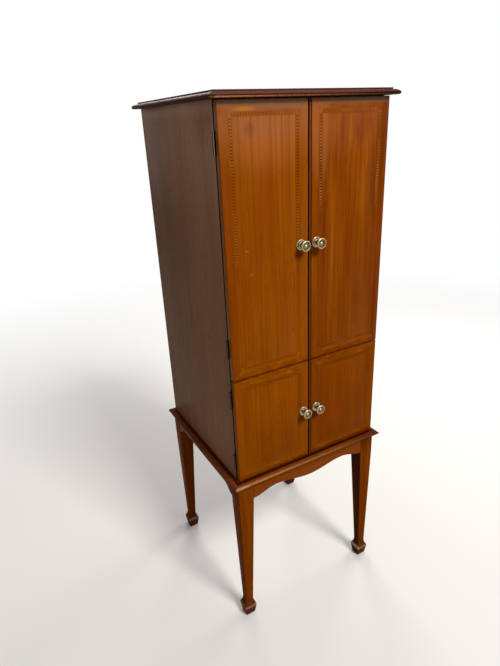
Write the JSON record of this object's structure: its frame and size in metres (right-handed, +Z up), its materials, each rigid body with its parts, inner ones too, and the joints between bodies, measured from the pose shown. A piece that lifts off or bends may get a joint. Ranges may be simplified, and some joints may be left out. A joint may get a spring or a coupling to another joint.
{
  "type": "gramophone cabinet",
  "caption": "Tall mahogany gramophone cabinet: paired inlaid doors above and below with brass knobs, on a stand with shaped aprons and tapered spade-foot legs.",
  "frame": {"origin": "on the floor, at the middle of the footprint that the mouldings and the knobs reach (bottom centre of the bounding box)", "axes": "+X to the right seen from the front, -Y out of the doors towards the viewer, +Z up"},
  "size_m": [0.399, 0.4012, 1.16],
  "materials": {
    "door_mahogany": "French polished mahogany, satin gloss, vertical grain",
    "side_mahogany": "French polished mahogany, worn satin",
    "moulding_mahogany": "polished mahogany moulding",
    "stand_mahogany": "polished mahogany, satin gloss",
    "inlay_banding": "banding of dark and light crosswise dashes",
    "carcass_wood": "plain unpolished wood",
    "aged_brass": "aged brass, dull lustre",
    "hinge_metal": "plated steel, blackened with age",
    "screw_brass": "aged brass",
    "screw_steel": "plain steel, dulled"
  },
  "bodies": {
    "cabinet": {"leg_front_left": "stand_mahogany", "leg_front_right": "stand_mahogany", "leg_back_left": "stand_mahogany", "leg_back_right": "stand_mahogany", "apron_front": "stand_mahogany", "apron_back": "stand_mahogany", "apron_left": "stand_mahogany", "apron_right": "stand_mahogany", "rim_front": "moulding_mahogany", "rim_back": "moulding_mahogany", "rim_left": "moulding_mahogany", "rim_right": "moulding_mahogany", "fixing_block_left": "carcass_wood", "fixing_block_right": "carcass_wood", "fixing_block_screws": "screw_steel", "bottom_board": "carcass_wood", "division_board": "carcass_wood", "shelf": "carcass_wood", "side_left": "side_mahogany", "side_right": "side_mahogany", "back_panel": "carcass_wood", "back_panel_screws": "screw_steel", "top": "moulding_mahogany", "dowels": "carcass_wood", "hinge_frame_leaves": "hinge_metal", "hinge_frame_screws": "screw_brass", "hinge_pins": "hinge_metal"},
    "upper_left_door": {"door_upper_left": "door_mahogany", "inlay_upper_left": "inlay_banding", "rose_upper_left": "aged_brass", "knob_upper_left": "aged_brass", "hinge_leaves_upper_left": "hinge_metal", "hinge_screws_upper_left": "screw_brass"},
    "upper_right_door": {"door_upper_right": "door_mahogany", "bead_upper_right": "moulding_mahogany", "inlay_upper_right": "inlay_banding", "rose_upper_right": "aged_brass", "knob_upper_right": "aged_brass", "hinge_leaves_upper_right": "hinge_metal", "hinge_screws_upper_right": "screw_brass"},
    "lower_left_door": {"door_lower_left": "door_mahogany", "inlay_lower_left": "inlay_banding", "rose_lower_left": "aged_brass", "knob_lower_left": "aged_brass", "hinge_leaves_lower_left": "hinge_metal", "hinge_screws_lower_left": "screw_brass"},
    "lower_right_door": {"door_lower_right": "door_mahogany", "bead_lower_right": "moulding_mahogany", "inlay_lower_right": "inlay_banding", "rose_lower_right": "aged_brass", "knob_lower_right": "aged_brass", "hinge_leaves_lower_right": "hinge_metal", "hinge_screws_lower_right": "screw_brass"}
  },
  "joints": [
    {"name": "upper_left_hinge", "type": "hinge", "parent": "cabinet", "child": "upper_left_door", "pos_m": [-0.1856, -0.16675, 0.89485], "axis": [0, 0, -1], "range_deg": [0, 195]},
    {"name": "upper_right_hinge", "type": "hinge", "parent": "cabinet", "child": "upper_right_door", "pos_m": [0.1856, -0.16675, 0.89485], "axis": [0, 0, 1], "range_deg": [0, 195]},
    {"name": "lower_left_hinge", "type": "hinge", "parent": "cabinet", "child": "lower_left_door", "pos_m": [-0.1856, -0.16675, 0.52185], "axis": [0, 0, -1], "range_deg": [0, 195]},
    {"name": "lower_right_hinge", "type": "hinge", "parent": "cabinet", "child": "lower_right_door", "pos_m": [0.1856, -0.16675, 0.52185], "axis": [0, 0, 1], "range_deg": [0, 195]}
  ]
}
